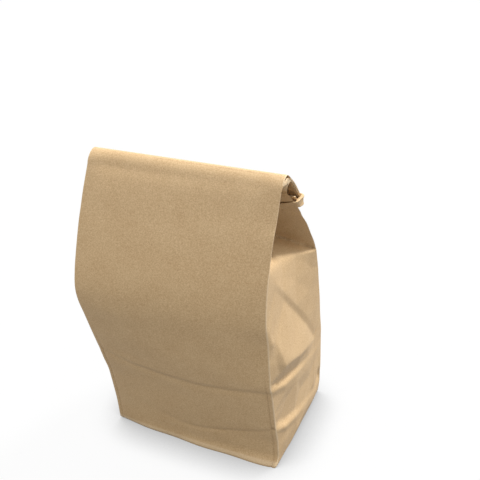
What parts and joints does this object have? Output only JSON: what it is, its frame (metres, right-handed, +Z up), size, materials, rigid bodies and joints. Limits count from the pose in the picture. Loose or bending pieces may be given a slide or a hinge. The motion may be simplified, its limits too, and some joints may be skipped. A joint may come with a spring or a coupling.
{
  "type": "tin-tie bag",
  "caption": "Block-bottom kraft paper gusset bag standing on its base, top folded over once to the back and held by a wired paper tin tie bent round both ends",
  "frame": {"origin": "centre of the flat base, on the surface that the bag stands on", "axes": "+Z up along the bag's height, -Y out of the wide front panel, +X along the front panel's width to the right seen from the front"},
  "size_m": [0.159, 0.1436, 0.2502],
  "materials": {
    "kraft_paper": "uncoated natural brown kraft, matt with fine fibres",
    "kraft_tape": "uncoated kraft paper tape over two wires, matt",
    "steel_wire": "bright drawn soft steel wire"
  },
  "bodies": {
    "root": {"bag": "kraft_paper", "tin_tie_tape": "kraft_tape", "tin_tie_wire_upper": "steel_wire", "tin_tie_wire_lower": "steel_wire"}
  },
  "joints": []
}
